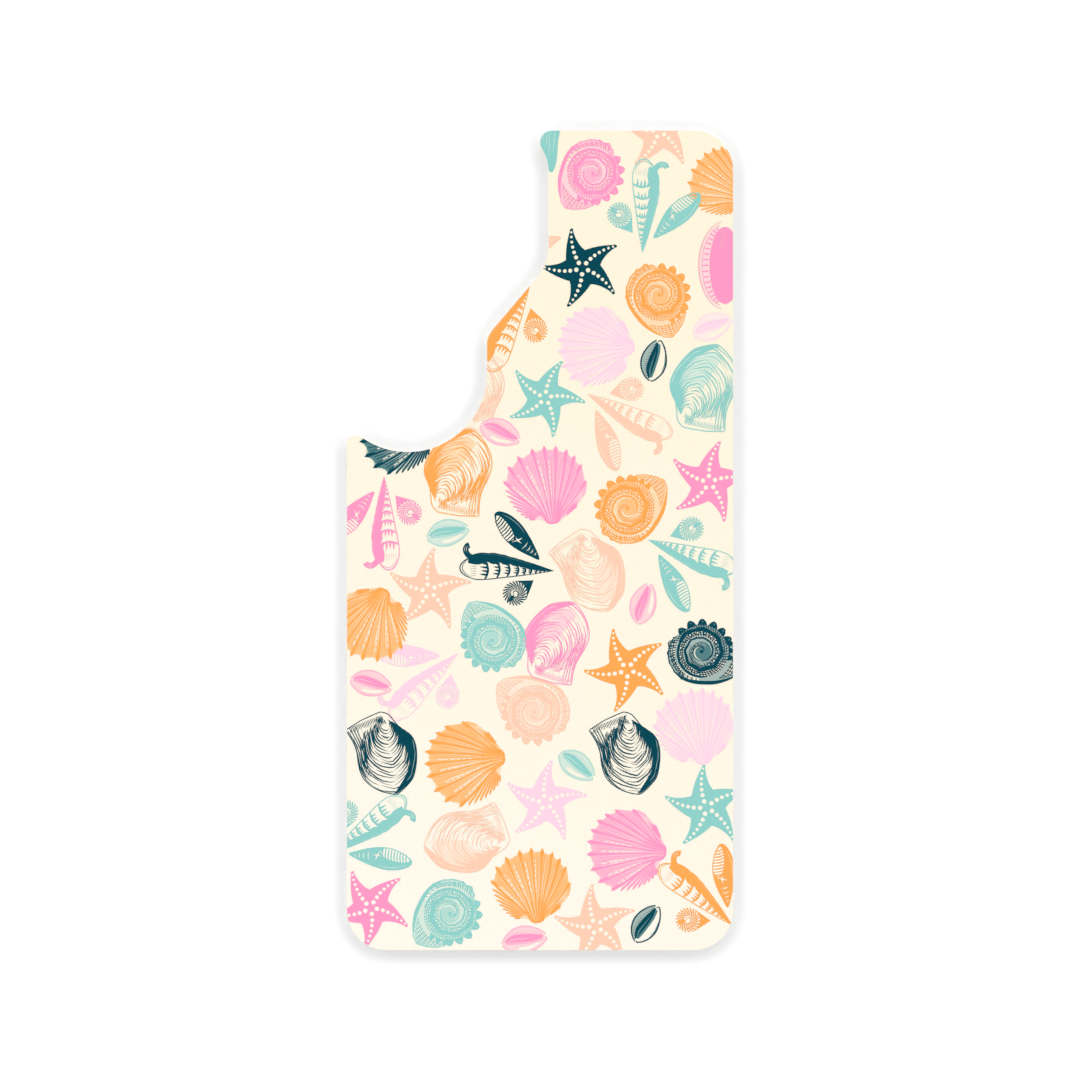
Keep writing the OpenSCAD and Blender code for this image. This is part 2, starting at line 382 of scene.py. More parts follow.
def turban(ink, x, y, size, turn):
    """A coiled shell seen down its axis: netted whorls between dark seams, knobs, and a tail at +u."""
    stamp = Stamp(ink, x, y, turn, size)
    knobs = ((43.5, 0.98), (64, 0.97), (85, 0.97), (108, 0.97), (131.5, 0.97), (154, 0.95))
    tail = [(-1, 1.37), (9, 1.25), (23, 1.12), (36, 1.0)]
    body = [(46, 0.86), (65, 0.83), (85, 0.83), (105, 0.83), (125, 0.83), (145, 0.83), (166, 0.87)]
    foot = [(182, 0.96), (199, 0.98), (217, 1.02), (239, 1.02)]
    flank = [(256, 1.0), (276, 0.97), (298, 0.98), (316, 1.06), (333, 1.18), (347, 1.3)]
    stamp.fill([polar(r, a) for a, r in tail + body + foot + flank], "light", 0)
    for a, r in knobs:
        hump = [(-11, 0.80), (-7.5, r - 0.07), (-3, r - 0.005), (1, r + 0.015), (5, r - 0.03)]
        hump += [(8, r - 0.1), (9, 0.80)]
        stamp.fill([polar(h, a + d) for d, h in hump], "full", 1)
        stamp.line([polar(r - 0.09, a - 2), polar(r - 0.045, a + 1)], 0.05, "mid", 2, (0.6, 0.6))

    def seam_r(t):
        """The radius of the seam after t turns."""
        return 0.04 + 0.262 * t

    def seam_a(t):
        """The direction of the seam after t turns."""
        return t * 360 - 40

    def seam(t0, t1, offset=0.0, wave=0.0, beats=11):
        """The seam from t0 to t1 turns, moved outwards, and waved in and out so often a turn."""
        n = max(3, int((t1 - t0) * 30))
        turns = [t0 + (t1 - t0) * i / n for i in range(n + 1)]
        waves = [wave * math.sin(t * math.tau * beats) for t in turns]
        return [polar(seam_r(t) + offset + w, seam_a(t)) for t, w in zip(turns, waves)]

    # Net over the whorls: fine rings crossed by fine ticks, with pale cells between them.
    stamp.fill(seam(1.25, 2.1, 0.23) + seam(1.25, 2.1, 0.05)[::-1], "cream", 1)
    outside, inside = range(185, 290, 10), range(285, 170, -10)
    stamp.fill([polar(0.93, a) for a in outside] + [polar(0.8, a) for a in inside], "cream", 1)
    t = 0.95
    while t < 2.8:
        r, a = seam_r(t), seam_a(t)
        reach = 0.235 if t > 1.6 else 0.19
        limit = 0.82 if 30 < (a % 360) < 165 else 0.95
        if r + 0.1 < limit:
            high = min(r + reach, limit)
            stamp.line([polar(r + 0.045, a), polar(high, a + 4)], 0.03, "full", 2)
        t += 0.072 / (r * math.tau + 0.3)
    for offset, stop in ((0.095, 2.6), (0.15, 2.35), (0.205, 2.15)):
        stamp.line(seam(1.0, stop, offset, 0.004), 0.03, "full", 2, (0.4, 0.4))
    # Seams: dark, of uneven width, with a row of small knobs on the middle whorl.
    stamp.line(seam(0.9, 1.5, 0.0, 0.008), 0.055, "full", 4, (0.4, 1.0))
    stamp.line(seam(1.5, 2.6, 0.0, 0.02, 8), 0.1, "full", 4, (0.5, 1.0), 0.15)
    stamp.line(seam(2.6, 2.95, -0.03), 0.07, "full", 4, (1.0, 0.3))
    for i in range(15):
        t = 1.0 + 0.064 * i
        u, v = polar(seam_r(t) + 0.155, seam_a(t))
        stamp.dot(u, v, 0.056, "full", 4, 9)
        stamp.dot(u, v, 0.03, "cream" if i % 3 else "light", 5, 7)
    # Innermost turns.
    stamp.dot(0.0, 0.0, 0.3, "mid", 3, 24)
    for k in range(5):
        whorl = seam(0.12 + 0.15 * k, 0.75 + 0.1 * k, 0.05 * k - 0.01, 0.006, 9)
        stamp.line(whorl, 0.03, "full", 4, (0.2, 0.2), 0.3)
    for k in range(46):
        t = 0.3 + 0.0165 * k
        r, a = seam_r(t) + 0.035, seam_a(t) + 8 * math.sin(k * 2.4)
        reach = 0.03 + 0.02 * math.sin(k * 1.7)
        tick = [polar(r, a), polar(r + 0.05 + reach, a + 6)]
        stamp.line(tick, 0.02, "cream" if k % 2 else "light", 5, (0.4, 0.4))
    stamp.line(seam(0.45, 0.95, -0.015), 0.035, "cream", 5, (0.2, 0.2))
    stamp.dot(0.01, 0.0, 0.055, "full", 6, 10)
    # Tail: a net of its own, with dark hollows where it leaves the body.
    far_side = [(-30, 0.97), (-22, 1.06), (-6, 1.24), (6, 1.2), (20, 1.07), (26, 0.97)]
    near_side = [(10, 0.96), (-6, 0.96), (-20, 0.96)]
    stamp.fill([polar(r, a) for a, r in far_side + near_side], "cream", 1)
    for row in range(6):
        r = 0.99 + 0.062 * row
        spread = 34 - 6.0 * row
        stamp.line([polar(r, -3 + spread * k / 3) for k in range(-3, 4)], 0.03, "full", 2, (0.5, 0.5))
    for i in range(11):
        a = -35 + 6.4 * i
        spoke = [polar(0.95, a), polar(1.35 - 0.0095 * abs(a + 3), a * 0.85)]
        stamp.line(spoke, 0.032, "full", 2, (1.0, 0.5))
    for a in (8, 22, 35):
        hollow = [polar(0.83, a - 8), polar(0.97, a - 3), polar(0.985, a + 2), polar(0.83, a + 7)]
        stamp.fill(hollow, "full", 3)
    # Foot and outline: short ticks between two rings, small bumps, and a heavy line along the flank.
    for i in range(12):
        a = 180 + 9 * i
        stamp.line([polar(0.82, a), polar(0.97, a + 2)], 0.03, "full", 2)
    for r in (0.86, 0.92):
        stamp.line([polar(r, 176 + 11 * k) for k in range(10)], 0.03, "full", 2, (0.4, 0.4))
    for k in range(5):
        a = 186 + 17 * k
        stamp.line([polar(0.985, a - 6), polar(1.02, a), polar(0.99, a + 6)], 0.04, "full", 3, (0.3, 0.3))
    rim = [(166, 0.86), (182, 0.955), (199, 0.975), (217, 1.01), (239, 1.01)]
    stamp.line(smooth([polar(r, a) for a, r in rim], 3, False), 0.03, "full", 3, (0.5, 1.0), 0.3)
    heavy = [(239, 1.0), (256, 0.98), (276, 0.94), (298, 0.95), (316, 1.03), (333, 1.15), (345, 1.27)]
    stamp.line(smooth([polar(r, a) for a, r in heavy], 3, False), 0.09, "full", 3, (0.5, 0.3), 0.25)
    edge = ((345, 1.3), (357, 1.36), (9, 1.24), (23, 1.11), (36, 0.99))
    stamp.line([polar(r, a) for a, r in edge], 0.024, "full", 3)
    stamp.press()


def clam(ink, x, y, size, turn):
    """A winged oyster: growth lines bowed down from the beak, a dark right flank, a hatched wing."""
    stamp = Stamp(ink, x, y, turn, size)
    right = [
        (-0.02, 0.97), (0.12, 0.91), (0.27, 0.73), (0.44, 0.55), (0.62, 0.45), (0.75, 0.26), (0.8, 0.0),
        (0.79, -0.3), (0.72, -0.62), (0.57, -0.82), (0.38, -1.0),
    ]
    left = [
        (0.26, -1.04), (0.0, -0.99), (-0.23, -0.89), (-0.46, -0.71), (-0.58, -0.5), (-0.64, -0.23),
        (-0.67, 0.0), (-0.77, 0.26), (-0.93, 0.52),
    ]
    back = [(-0.9, 0.56), (-0.57, 0.77), (-0.29, 0.9), (-0.1, 0.98)]
    rim = smooth(right + left, 3, False)
    beak = (0.02, 0.84)

    def grown(s, a, b, n, wobble=0.0):
        """A growth line: the rim's stretch from a to b, drawn in towards the beak."""
        out = []
        for i in range(n + 1):
            t = a + (b - a) * i / n
            p = along(rim, t)
            k = s * (1 + wobble * math.sin(9 * t * math.pi + 40 * s))
            out.append((beak[0] + (p[0] - beak[0]) * k, beak[1] + (p[1] - beak[1]) * k))
        return out

    if ink != "navy":
        stamp.fill(grown(0.9, 0.24, 0.62, 14) + grown(0.45, 0.24, 0.62, 8)[::-1], "light", 0)
    for i in range(19):
        s = 0.16 + 0.045 * i
        t = 0.14 + 0.05 * rng.random()
        stop = 0.96 - 0.05 * rng.random()
        while t < stop:
            run = 0.16 + 0.34 * rng.random()
            end = min(stop, t + run)
            if end - t > 0.05:
                pen = 0.014 + 0.012 * rng.random()
                growth = grown(s + 0.012 * rng.random(), t, end, 7, 0.012)
                stamp.line(growth, pen, "full", 2, (0.15, 0.15), 0.5)
            t = end + 0.01
    # The flank is solid at the rim, and the ends of the growth lines thicken into it.
    inner = []
    for i in range(15):
        t = 0.22 + 0.36 * i / 14
        (u, v), k = along(rim, t), 0.985 - 0.14 * math.sin(math.pi * (i / 14) ** 0.8)
        inner.append((beak[0] + (u - beak[0]) * k, beak[1] + (v - beak[1]) * k))
    stamp.fill(grown(0.99, 0.22, 0.58, 14) + inner[::-1], "full", 1)
    for i in range(22):
        s = 0.3 + 0.031 * i
        start = 0.17 + 0.05 * rng.random()
        stop = start + 0.14 + 0.12 * rng.random() + 0.1 * max(0.0, s - 0.6)
        pen = (0.034 if ink == "navy" else 0.026) + 0.012 * rng.random()
        stamp.line(grown(s, start, stop, 6, 0.008), pen, "full", 2, (0.9, 0.05))
    for i in range(9):
        s = 0.34 + 0.065 * i
        start = 0.74 + 0.04 * rng.random()
        pen = 0.03 if ink == "navy" else 0.018
        stamp.line(grown(s, start, start + 0.14, 5), pen, "full", 2, (0.05, 0.4))
    for i in range(4):
        a = 0.26 + 0.05 * i
        stamp.line(grown(0.93 + 0.015 * (i % 2), a, a + 0.06, 4), 0.014, "light", 4, (0.2, 0.2))
    # Wing: lines along its edge, with a hatched slope up to the beak.
    for k in range(4):
        shift = 0.06 * k
        side = [(-0.88 + shift, 0.5 + 0.035 * k), (-0.7 + shift, 0.2), (-0.6 + shift * 0.9, -0.06)]
        side += [(-0.56 + shift * 0.8, -0.32), (-0.42 + shift * 0.5, -0.62)]
        stamp.line(smooth(side, 2, False), 0.024, "full", 3, (0.8, 0.1))
    for i in range(22):
        u = -0.86 + 0.037 * i
        high = 0.6 + 0.39 * (u + 0.84)
        hatch = [(u, high), (u + 0.035, high - 0.07), (u + 0.05, high - 0.11 - 0.06 * rng.random())]
        stamp.line(hatch, 0.015, "full", 3, (0.9, 0.3))
    for i in range(18):
        u = -0.5 + 0.028 * i
        v = 0.5 + 0.9 * (u + 0.5) - 0.16 * rng.random()
        slope = [(u, v), (u - 0.03, v - 0.08), (u - 0.02, v - 0.17 - 0.08 * rng.random())]
        stamp.line(slope, 0.024 if ink == "navy" else 0.015, "full", 3, (0.3, 0.1))
    for i in range(5):
        fold = [(-0.16 + 0.05 * i, 0.86 - 0.02 * i), (-0.2 + 0.05 * i, 0.76), (-0.14 + 0.05 * i, 0.68)]
        stamp.line(fold, 0.035, "full", 3, (0.2, 0.2))
    for i in range(7):
        u, v = 0.16 + 0.045 * i, 0.74 - 0.07 * i
        stamp.line([(u, v), (u - 0.05, v - 0.06)], 0.022, "full", 3, (0.9, 0.3))
    stamp.line(rim + back + [rim[0]], 0.022, "full", 3)
    stamp.press()


def cowrie(ink, x, y, size, turn):
    """A cowrie seen from below: a toothed dark slit, a shaded inner lip and a pale outer lip."""
    stamp = Stamp(ink, x, y, turn, size)
    upper = [
        (-0.97, 0.07), (-0.8, 0.3), (-0.45, 0.52), (-0.05, 0.59), (0.35, 0.5), (0.75, 0.26), (0.98, 0.0),
    ]
    lower = [
        (0.9, -0.1), (0.98, -0.2), (0.75, -0.38), (0.35, -0.54), (-0.1, -0.6), (-0.5, -0.5), (-0.82, -0.26),
        (-0.97, -0.05), (-0.93, 0.02),
    ]
    slit = [(-0.84, 0.1), (-0.5, 0.22), (-0.15, 0.19), (0.2, 0.11), (0.6, 0.0), (0.86, -0.06)]
    upper, lower, slit = (smooth(curve, 3, False) for curve in (upper, lower, slit))
    stamp.fill(upper + slit[::-1], "light", 0)
    if ink != "navy":
        stamp.fill([(u, v * 0.95) for u, v in lower] + slit, "light", -1)
        shine = [(0.7, -0.3), (0.3, -0.44), (-0.1, -0.48), (-0.4, -0.4)]
        shine += [(-0.3, -0.28), (0.1, -0.32), (0.5, -0.26)]
        stamp.fill(shine, "cream", 0)
    lip = [(0.78, -0.22), (0.4, -0.25), (0.0, -0.2), (-0.45, -0.12), (-0.78, -0.04)]
    stamp.fill(slit + lip, "mid", 0)
    shade = [(0.84, -0.1), (0.4, -0.04), (0.0, 0.02), (-0.45, 0.08), (-0.8, 0.04)]
    shade += [(-0.5, 0.0), (0.0, -0.1), (0.45, -0.15)]
    stamp.fill(shade, "full", 1)
    stamp.line(slit, 0.15, "full", 2, (0.5, 0.5), 0.2)
    for i in range(15):
        p = along(slit, 0.08 + 0.06 * i)
        reach = 0.15 + 0.1 * math.sin(math.pi * (i + 1) / 16)
        tooth = [(p[0], p[1] + 0.03), (p[0] - 0.015, p[1] + reach)]
        stamp.line(tooth, 0.038, "full", 3, (1.0, 0.2))
        far = max(reach + 0.06, 0.34 * math.sin(math.pi * (i + 1.5) / 18))
        furrow = [(p[0] - 0.02, p[1] + reach + 0.03), (p[0] - 0.03, p[1] + far)]
        stamp.line(furrow, 0.024, "mid", 2, (0.4, 0.3))
    stamp.line(upper, 0.07, "full" if ink == "navy" else "mid", 3, (0.7, 0.7))
    stamp.line(lower, 0.065, "full" if ink == "navy" else "mid", 3, (0.7, 0.7))
    stamp.line([(0.35, -0.5), (-0.1, -0.55), (-0.5, -0.45)], 0.05, "mid", 2, (0.2, 0.2))
    stamp.press()


def big_cowrie(ink, x, y, size, turn):
    """A large cowrie: a solid opening, and on its +v side a pale lip with dark teeth."""
    stamp = Stamp(ink, x, y, turn, size)

    def oval(across, inset, a0, a1, n):
        """An arc of an oval from a0 to a1 degrees, with its ends this far inside the shell's."""
        angles = [math.radians(a0 + (a1 - a0) * i / n) for i in range(n + 1)]
        return [((1 - inset) * math.cos(a), across * math.sin(a)) for a in angles]

    stamp.fill(oval(0.36, 0.12, -90, 270, 32)[:-1], "full", 1)
    outer, inner = oval(0.53, 0.07, 22, 158, 16), oval(0.38, 0.14, 22, 158, 16)
    stamp.fill(outer + inner[::-1], "light", 0)
    for a, b in zip(outer, inner):
        stamp.line([a, b], 0.04, "full", 2, (0.5, 1.0))
    stamp.line(oval(0.53, 0.07, 12, 168, 20), 0.014, "full", 3)
    stamp.line(oval(0.6, 0.0, 6, 174, 20), 0.02, "full", 3, (0.4, 0.4))
    stamp.line(oval(0.565, 0.035, 14, 166, 20), 0.009, "mid", 3, (0.4, 0.4))
    for i in range(9):
        glint = [(0.86 - 0.05 * i, 0.02), (0.76 - 0.05 * i, 0.08 + 0.02 * (i % 2))]
        stamp.line(glint, 0.02, "cream", 4, (0.3, 0.3))
    stamp.press()


def auger(stamp):
    """A long turreted shell, in mm, with its point at +u and the beak of its mouth on the +v side."""
    back, point = -6.9, 8.6
    upper = [(back, 1.25), (-4.6, 2.0), (-1.6, 2.15), (0.9, 1.75), (3.5, 1.25), (6.0, 0.7), (point, 0.0)]
    lower = [(-6.8, -2.4), (-5.4, -2.75), (-3.4, -2.6), (-0.8, -2.1), (2.2, -1.5), (5.2, -0.85)]
    lower += [(point, 0.0)]
    upper, lower = smooth(upper, 4, False), smooth(lower, 4, False)

    def edge(curve, u):
        """How high a curve is at u."""
        for a, b in zip(curve, curve[1:]):
            if a[0] <= u <= b[0]:
                return a[1] + (b[1] - a[1]) * (u - a[0]) / max(1e-6, b[0] - a[0])
        return curve[0][1] if u < curve[0][0] else curve[-1][1]

    sutures = [-3.3, -1.2, 0.6, 2.2, 3.45, 4.55, 5.5, 6.25, 6.95, 7.55, 8.05]

    def bulge(u):
        """How far a whorl bulges at u: 0 at its sutures and 1 midway."""
        k = sum(1 for s in sutures if s < u)
        first = sutures[k - 1] if k else back
        last = sutures[k] if k < len(sutures) else point
        return math.sin(math.pi * (u - first) / (last - first))

    stations = [-6.85 + 15.4 * i / 40 for i in range(41)]
    top = [(u, edge(upper, u) + 0.16 * bulge(u) * (1 - (u + 7) / 17)) for u in stations]
    share = [0.32 + 0.1 * bulge(u) + 0.5 * max(0.0, (u - 1) / 7.5) ** 1.5 for u in stations]
    under = [(u, edge(upper, u) - (edge(upper, u) - edge(lower, u)) * s) for u, s in zip(stations, share)]
    stamp.fill(top + under[::-1], "full", 2)
    stamp.line([(u, v - 0.3) for u, v in top[6:-10]], 0.06, "mid", 3, (0.3, 0.3))
    stamp.line(lower, 0.16, "full", 2, (0.8, 0.6))
    for k, u in enumerate(sutures):
        high, low = edge(upper, u), edge(lower, u)
        middle = high - (high - low) * 0.34
        lean = 0.3 - 0.02 * k
        bend = [(u - lean, middle), (u + 0.12, middle + (low - middle) * 0.4)]
        bend += [(u + 0.02, middle + (low - middle) * 0.75), (u - lean, low + 0.02)]
        stamp.line(smooth(bend, 3, False), 0.3 - 0.016 * k, "full", 2, (1.0, 0.6), 0.3)
        gap = u - (sutures[k - 1] if k else -6.0)
        rays = 4 if k < 6 else 3
        for j in range(rays):
            v = middle + (low - middle) * (0.12 + 0.84 * j / rays)
            reach = gap * (0.5 if j % 2 else 0.4)
            ray = [(u + 0.08, v), (u - reach * 0.4, v + 0.04), (u - reach, v + 0.05)]
            stamp.line(ray, 0.34 - 0.024 * k, "full", 2, (1.0, 0.1))
    # Mouth: a pale lip with a doubled outline, and its turned beak.
    lip = [(-6.9, 0.9), (-7.6, 0.35), (-8.2, -0.5), (-8.1, -1.4), (-7.4, -2.1), (-6.5, -2.5)]
    lip = smooth(lip, 3, False)
    stamp.line(lip, 0.2, "full", 3, (0.8, 0.8))
    stamp.line([(u + 0.42, v + 0.12) for u, v in lip[2:]], 0.11, "full", 3, (0.6, 0.3))
    beak = smooth([(-5.8, 1.0), (-6.7, 1.3), (-7.3, 1.9), (-7.5, 2.5), (-7.3, 3.05), (-6.9, 3.3)], 3, False)
    stamp.line(beak, 1.0, "full", 2, (1.3, 1.0))
    for shift in (-0.2, 0.12):
        stamp.line([(u + shift, v) for u, v in beak[6:-2]], 0.09, "cream", 4, (0.3, 0.3))
    for j in range(5):
        fold = [(-6.5 + 0.1 * j, -0.5 - 0.42 * j), (-5.3, -0.45 - 0.42 * j)]
        stamp.line(fold, 0.12, "full", 2, (0.1, 0.5))


def snail(stamp):
    """A small top shell seen from below: a dark cone to +u behind a round, ribbed base."""
    stamp.fill([(4.3, 0.0), (1.3, 1.95), (-0.2, 2.2), (-0.2, -2.2), (1.2, -2.1)], "full", 1)
    stamp.fill([polar(2.3, k * 10) for k in range(36)], "cream", 2)
    for k in range(22):
        a = k * 360 / 22
        stamp.line([polar(0.75, a - 50), polar(1.5, a - 18), polar(2.3, a)], 0.24, "full", 3, (0.2, 1.0))
    stamp.line([polar(0.25 + 0.7 * k / 14, 200 - k * 30) for k in range(15)], 0.2, "full", 3, (0.4, 0.6))
    mouth = [polar(2.1, 196), polar(1.4, 216), polar(0.35, 222), polar(0.6, 184), polar(1.2, 180)]
    stamp.fill(mouth, "full", 4)
    for k in range(6):
        stamp.line([(1.75 + 0.4 * k, 1.3 - 0.27 * k), (2.0 + 0.36 * k, 0.1)], 0.08, "light", 3, (0.3, 0.3))


def spindle(stamp):
    """A mitre shell, 12 mm long: a dark spire at +u with pale bands, a hatched mouth on the -v side."""
    shape = [(-6.0, 0.2), (-5.5, 1.1), (-3.8, 1.85), (-1.4, 2.1), (1.0, 1.7), (3.4, 0.95), (6.1, -0.3)]
    shape += [(4.4, -1.1), (2.2, -1.8), (0.0, -2.15), (-2.2, -2.0), (-4.2, -1.25), (-5.6, -0.4)]
    stamp.fill(smooth(shape, 4), "full", 1)
    mouth = [(-5.5, 0.0), (-4.4, 0.45), (-2.4, 0.3), (-0.7, -0.25), (0.0, -1.0), (-0.6, -1.95)]
    mouth += [(-2.4, -1.8), (-4.4, -1.0)]
    stamp.fill(smooth(mouth, 3), "cream", 2)
    for k in range(9):
        u = -4.9 + 0.56 * k
        low = -2.05 * math.sqrt(max(0.02, 1 - (u / 6.1) ** 2)) + 0.06
        stamp.line([(u, 0.45), (u + 0.18, low * 0.35), (u + 0.1, low)], 0.23, "full", 3, (0.9, 0.7))
    stamp.line([(0.1, -1.6), (0.7, -0.4), (1.0, 0.35)], 0.32, "cream", 3, (0.2, 0.2))
    stamp.line([(-0.1, -0.4), (0.75, -0.6), (1.6, -0.5)], 0.3, "cream", 3, (0.2, 0.2))
    for u, reach in ((2.2, 1.3), (3.1, 1.0), (3.9, 0.75), (4.7, 0.5)):
        stamp.line([(u + 0.1, -reach), (u + 0.22, -0.2), (u, reach * 0.4)], 0.22, "cream", 3, (0.2, 0.2))
        stamp.line([(u + 0.42, -reach * 0.9), (u + 0.52, -0.25)], 0.14, "light", 3, (0.2, 0.2))
    shine = smooth([(-5.0, 0.9), (-3.2, 1.45), (-1.2, 1.6), (0.8, 1.3)], 3, False)
    stamp.line(shine, 0.1, "light", 3, (0.1, 0.1))


def trio(ink, x, y, turn):
    """An auger with a top shell on one side and a mitre shell on the other."""
    stamp = Stamp(ink, x, y, turn)
    auger(stamp.sub(-0.45, 0, 0, 1.05))
    snail(stamp.sub(1.7, -4.9, 40))
    spindle(stamp.sub(1.2, 6.0, -39))
    stamp.press()


def long_end(ink, x, y):
    """The streaked lower end of a long shell that hangs in from beyond the plate's edge."""
    stamp = Stamp(ink, x, y, 0)
    shape = [(-4, 1), (1, 0.5), (0.9, -2.5), (0.65, -6), (0.1, -7.9), (-0.7, -8.2), (-4, -5)]
    stamp.fill(smooth(shape, 3), "full", 0)
    for u, reach in ((-1.9, -2.6), (-1.2, -3.4), (-0.7, -5.2), (0.2, -4.4)):
        stamp.line([(u + 0.1, -0.4), (u, reach * 0.6), (u - 0.2, reach)], 0.12, "light", 1, (0.3, 0.3))
    stamp.press()


def lone_spindle(ink, x, y, turn, size):
    """A mitre shell that stands by itself."""
    stamp = Stamp(ink, x, y, turn, size)
    spindle(stamp)
    stamp.press()


# Each entry is what its motif's function takes: the ink, x and y in mm, sizes in mm (for the lone
# spindle a share of its own size) and turns in degrees.
STARS = [
    ("peach", 22.5, 77.5, 7.8, 90), ("navy", 8, 51.5, 7.8, 33), ("teal", 1, 27, 7.6, 65),
    ("pink", 32, 11, 8, 75), ("peach", -21, -9.5, 8.1, 83), ("orange", 16.5, -24.5, 8.2, 37),
    ("lilac", 1, -49.5, 8, 81), ("teal", 31.5, -50.5, 8.1, 93), ("pink", -32, -69.5, 7.8, 45),
    ("peach", 10.5, -73, 8, 94),
]
SCALLOPS = [
    ("orange", 39.5, 64.5, 12.5, 143), ("lilac", 17.5, 36.5, 14.4, 174), ("navy", -20, 20.5, 14.4, 178),
    ("pink", 2.5, 3.5, 14.6, 97), ("orange", -29.5, -9.5, 14, 243), ("orange", -7, -41, 15, 185),
    ("lilac", 31, -42, 14.4, 100), ("pink", 23.5, -59, 14.8, 172), ("orange", -0.5, -72, 14, 95),
]
TURBANS = [
    ("pink", 10, 69.5, 6.2, 235), ("orange", 22.5, 46.5, 6.2, 290), ("orange", 16.5, 6, 6.5, 40),
    ("teal", -9, -19, 6.2, 125), ("navy", 30.5, -21, 6.3, 340), ("peach", -1, -32.5, 6.5, 145),
    ("teal", -17, -70.5, 6.3, 225),
]
CLAMS = [
    ("teal", 31, 28.5, 8.2, 146), ("orange", -15.5, 12.5, 8.2, 146), ("pink", 3, -19.5, 7.8, 140),
    ("peach", 9.5, -5.5, 7.9, 8), ("navy", -29.5, -40, 7.7, 0), ("navy", 16.5, -40, 7.7, 0),
    ("peach", -13.5, -56.5, 7.9, -95), ("peach", -13, 27.5, 8, 146),
]
COWRIES = [
    ("lilac", 32.5, 40.5, 4, 28), ("navy", 21.5, 34, 4, 82), ("pink", -7.5, 20.5, 4, -18),
    ("teal", -17.5, 1.5, 4.1, 18), ("pink", 19.5, -12, 4, 78), ("pink", -32, -27, 4, -8),
    ("teal", 7, -42.5, 4, -32), ("navy", 20, -72.5, 4, 62), ("pink", -3, -75.5, 4.3, 15),
]
BIG_COWRIES = [("pink", 35, 52, 8.3, 90)]
TRIOS = [
    ("teal", 20, 63, 266), ("orange", -6, 40.5, 62), ("peach", 16.5, 23.5, 151), ("pink", -29.5, 3.5, 90),
    ("navy", -6, -5, -5), ("teal", 28.5, -3, 159), ("lilac", -22, -27, 41), ("teal", -32.5, -54.5, 214),
    ("orange", 30, -67, -42),
]
LONG_ENDS = [("teal", 2.5, 78)]
LONE_SPINDLES = [("peach", -1.5, 55.5, 22, 0.95)]

for motif, stands in (
    (star, STARS), (scallop, SCALLOPS), (turban, TURBANS), (clam, CLAMS), (cowrie, COWRIES),
    (big_cowrie, BIG_COWRIES), (trio, TRIOS), (long_end, LONG_ENDS), (lone_spindle, LONE_SPINDLES),
):
    for stand in stands:
        motif(*stand)


# ---------------------------------------------------------------- nodes


def linear(rgb):
    """The surface colour that shows as this screen colour under the studio light."""
    out = []
    for c in rgb:
        c = c / 255
        out.append((c / 12.92 if c <= 0.04045 else ((c + 0.055) / 1.055) ** 2.4) / LIGHT_LEVEL)
    return out


def mix(a, b, t):
    """The colour that lies a share t of the way from a to b."""
    return tuple(p + (q - p) * t for p, q in zip(a, b))


def greys(stops):
    """The stops of a ramp that has no hue, from (value, level) pairs."""
    return [(at, (level,) * 3) for at, level in stops]


def tree_of(name):
    """A new material, its node tree and its shader."""
    material = bpy.data.materials.new(name)
    material.use_nodes = True
    tree = material.node_tree
    return material, tree, tree.nodes["Principled BSDF"]


def feed(tree, made, inputs):
    """Gives inputs of a node, by name or number, a constant or a link from another node's output."""
    for name, value in inputs.items():
        if isinstance(value, bpy.types.NodeSocket):
            tree.links.new(value, made.inputs[name])
        else:
            made.inputs[name].default_value = value


def node(tree, kind, inputs, **properties):
    """A new node with its properties and its inputs set."""
    made = tree.nodes.new(kind)
    for name, value in properties.items():
        setattr(made, name, value)
    feed(tree, made, inputs)
    return made


def position(tree):
    """Where a point is on its own object, in metres."""
    return node(tree, "ShaderNodeTexCoord", {}).outputs["Object"]


def split(tree, vector):
    """The x, y and z of a vector, as outputs."""
    return node(tree, "ShaderNodeSeparateXYZ", {"Vector": vector}).outputs


def scaled(tree, value, factor, added):
    """A value times a factor, with something added."""
    inputs = {0: value, 1: factor, 2: added}
    return node(tree, "ShaderNodeMath", inputs, operation="MULTIPLY_ADD").outputs["Value"]


def noise(tree, scale, detail=3.0, rough=0.5):
    """An even mottle, finer for a larger scale."""
    inputs = {"Vector": position(tree), "Scale": scale, "Detail": detail, "Roughness": rough}
    return node(tree, "ShaderNodeTexNoise", inputs).outputs["Fac"]


def streaks(tree, scales, detail):
    """A mottle with a scale of its own along each axis."""
    stretched = node(tree, "ShaderNodeMapping", {"Vector": position(tree), "Scale": scales})
    inputs = {"Vector": stretched.outputs["Vector"], "Scale": 1.0, "Detail": detail}
    return node(tree, "ShaderNodeTexNoise", inputs).outputs["Fac"]


def ramp(tree, value, stops):
    """The colour for a value, from (value, colour) stops."""
    made = node(tree, "ShaderNodeValToRGB", {"Fac": value})
    while len(made.color_ramp.elements) < len(stops):
        made.color_ramp.elements.new(0.5)
    for element, (at, colour) in zip(made.color_ramp.elements, stops):
        element.position = at
        element.color = (*colour, 1.0)
    return made.outputs["Color"]


def bump(tree, height, strength, distance):
    """A surface normal for a height from 0 to 1 that stands for a distance in metres."""
    inputs = {"Height": height, "Strength": strength, "Distance": distance}
    return node(tree, "ShaderNodeBump", inputs).outputs["Normal"]


def ranged(tree, value, low, high):
    """A value from 0 to 1 brought between low and high."""
    inputs = {"Value": value, "To Min": low, "To Max": high}
    return node(tree, "ShaderNodeMapRange", inputs).outputs["Result"]


# ---------------------------------------------------------------- materials


